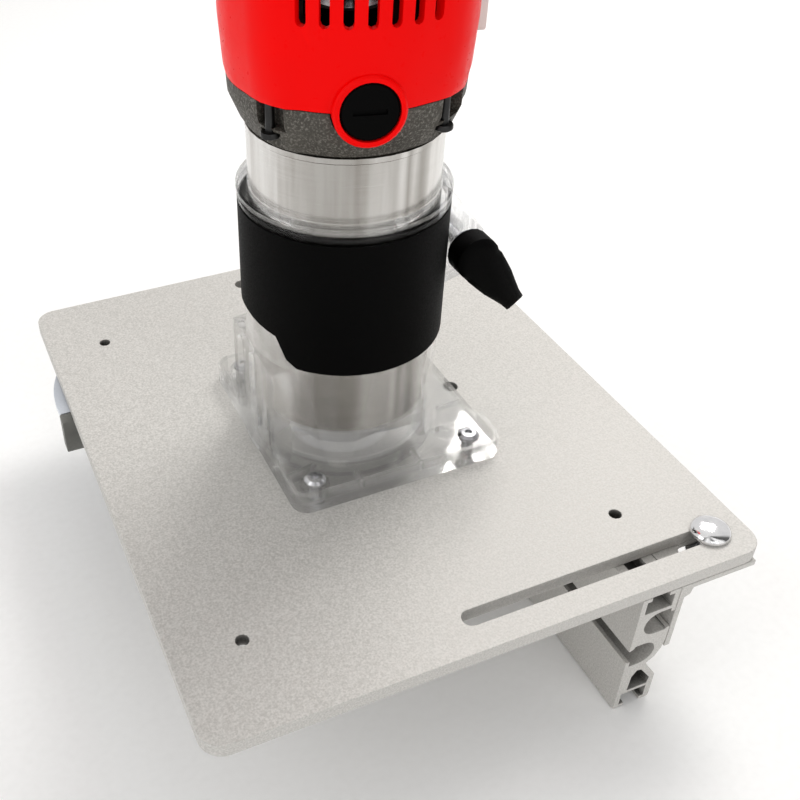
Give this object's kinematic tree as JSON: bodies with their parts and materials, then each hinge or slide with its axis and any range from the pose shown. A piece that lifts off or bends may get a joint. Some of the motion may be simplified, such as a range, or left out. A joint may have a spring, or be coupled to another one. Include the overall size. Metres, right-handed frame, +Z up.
{
  "type": "router table",
  "caption": "Small router table: trim router upside down on an aluminium plate, with a sliding fence and a mitre gauge under the work face.",
  "frame": {"origin": "middle of the bottom of the bounding box, level with the fence's lowest edge", "axes": "+X right along the plate's front edge, +Y to the back, +Z up along the router's axis; the plate's underside is the work face"},
  "size_m": [0.2084, 0.24, 0.2827],
  "materials": {
    "anodised_aluminium": "sandblasted, clear anodised",
    "dark_anodised": "dark grey anodised, satin",
    "pale_aluminium": "pale satin",
    "turned_aluminium": "fine turned, polished",
    "chrome": "polished",
    "steel": "zinc plated",
    "electrical_steel": "laminated, varnished",
    "copper": "enamelled copper",
    "brass": "drawn",
    "carbon": "pressed graphite",
    "black_plastic": "moulded, satin",
    "red_plastic": "moulded, glossy",
    "grey_casting": "textured dark grey",
    "clear_plastic": "clear polycarbonate",
    "white_plastic": "moulded, satin",
    "rubber": "matte"
  },
  "bodies": {
    "table": {"table_plate": "anodised_aluminium", "clear_base": "clear_plastic", "base_band": "black_plastic", "base_screw_left_front": "steel", "base_screw_left_back": "steel", "base_screw_right_front": "steel", "base_screw_right_back": "steel", "clamp_bolt": "steel", "clamp_washer": "steel"},
    "lever": {"clamp_lever": "black_plastic"},
    "fence": {"fence_profile": "anodised_aluminium", "fence_bracket": "anodised_aluminium", "fence_bolt_front": "chrome", "fence_bolt_back": "chrome", "fence_nut_front": "steel", "fence_nut_back": "steel", "bracket_bolt_front": "steel", "bracket_bolt_back": "steel", "bracket_nut_front": "steel", "bracket_nut_back": "steel"},
    "gauge_slider": {"gauge_arm": "pale_aluminium", "gauge_pivot_bolt": "steel"},
    "gauge_head": {"gauge_protractor": "pale_aluminium", "gauge_beam": "dark_anodised"},
    "gauge_knob": {"gauge_lock_knob": "black_plastic"},
    "motor": {"motor_case": "turned_aluminium", "motor_casting": "grey_casting", "housing_screw_left_front": "steel", "housing_screw_right_front": "steel", "housing_screw_right_back": "steel", "housing_screw_left_back": "steel", "motor_housing": "red_plastic", "end_cap": "black_plastic", "cord_gland": "rubber", "switch_plate": "white_plastic", "switch_body": "black_plastic", "brush_holder_front": "brass", "brush_holder_back": "brass", "carbon_brush_front": "carbon", "carbon_brush_back": "carbon", "brush_spring_front": "steel", "brush_spring_back": "steel", "brush_cap_front": "black_plastic", "brush_cap_back": "black_plastic", "stator_core": "electrical_steel", "stator_coil_lower": "copper", "stator_coil_upper": "copper", "lower_bearing": "steel", "upper_bearing": "steel", "bearing_bridge": "black_plastic", "bearing_cap": "black_plastic"},
    "rocker": {"switch_rocker": "black_plastic"},
    "spindle": {"armature_shaft": "steel", "armature_core": "electrical_steel", "armature_winding": "copper", "commutator": "copper", "cooling_fan": "black_plastic", "collet": "steel", "collet_nut": "steel"}
  },
  "joints": [
    {"name": "fence_slide", "type": "slide", "parent": "table", "child": "fence", "axis": [1, 0, 0], "range_m": [-0.094, 0]},
    {"name": "gauge_slide", "type": "slide", "parent": "fence", "child": "gauge_slider", "axis": [0, 1, 0], "range_m": [-0.15, 0.045]},
    {"name": "gauge_swivel", "type": "hinge", "parent": "gauge_slider", "child": "gauge_head", "pos_m": [-0.0572, 0.0594, 0.0573], "axis": [0, 0, 1], "range_deg": [-45, 45]},
    {"name": "gauge_knob_turn", "type": "hinge", "parent": "gauge_slider", "child": "gauge_knob", "pos_m": [-0.0572, 0.0594, 0.032], "axis": [0, 0, 1], "continuous": true},
    {"name": "motor_depth", "type": "slide", "parent": "table", "child": "motor", "axis": [0, 0, 1], "range_m": [-0.005, 0.03]},
    {"name": "spindle_spin", "type": "hinge", "parent": "motor", "child": "spindle", "pos_m": [-0.00325, 0, 0.1], "axis": [0, 0, 1], "continuous": true},
    {"name": "lever_swing", "type": "hinge", "parent": "table", "child": "lever", "pos_m": [0.04045, 0, 0.1397], "axis": [0, 1, 0], "range_deg": [-100, 20]},
    {"name": "rocker_tilt", "type": "hinge", "parent": "motor", "child": "rocker", "pos_m": [0.035, -0.01025, 0.2392], "axis": [0.2588, 0.9659, 0], "range_deg": [-10, 0]}
  ]
}
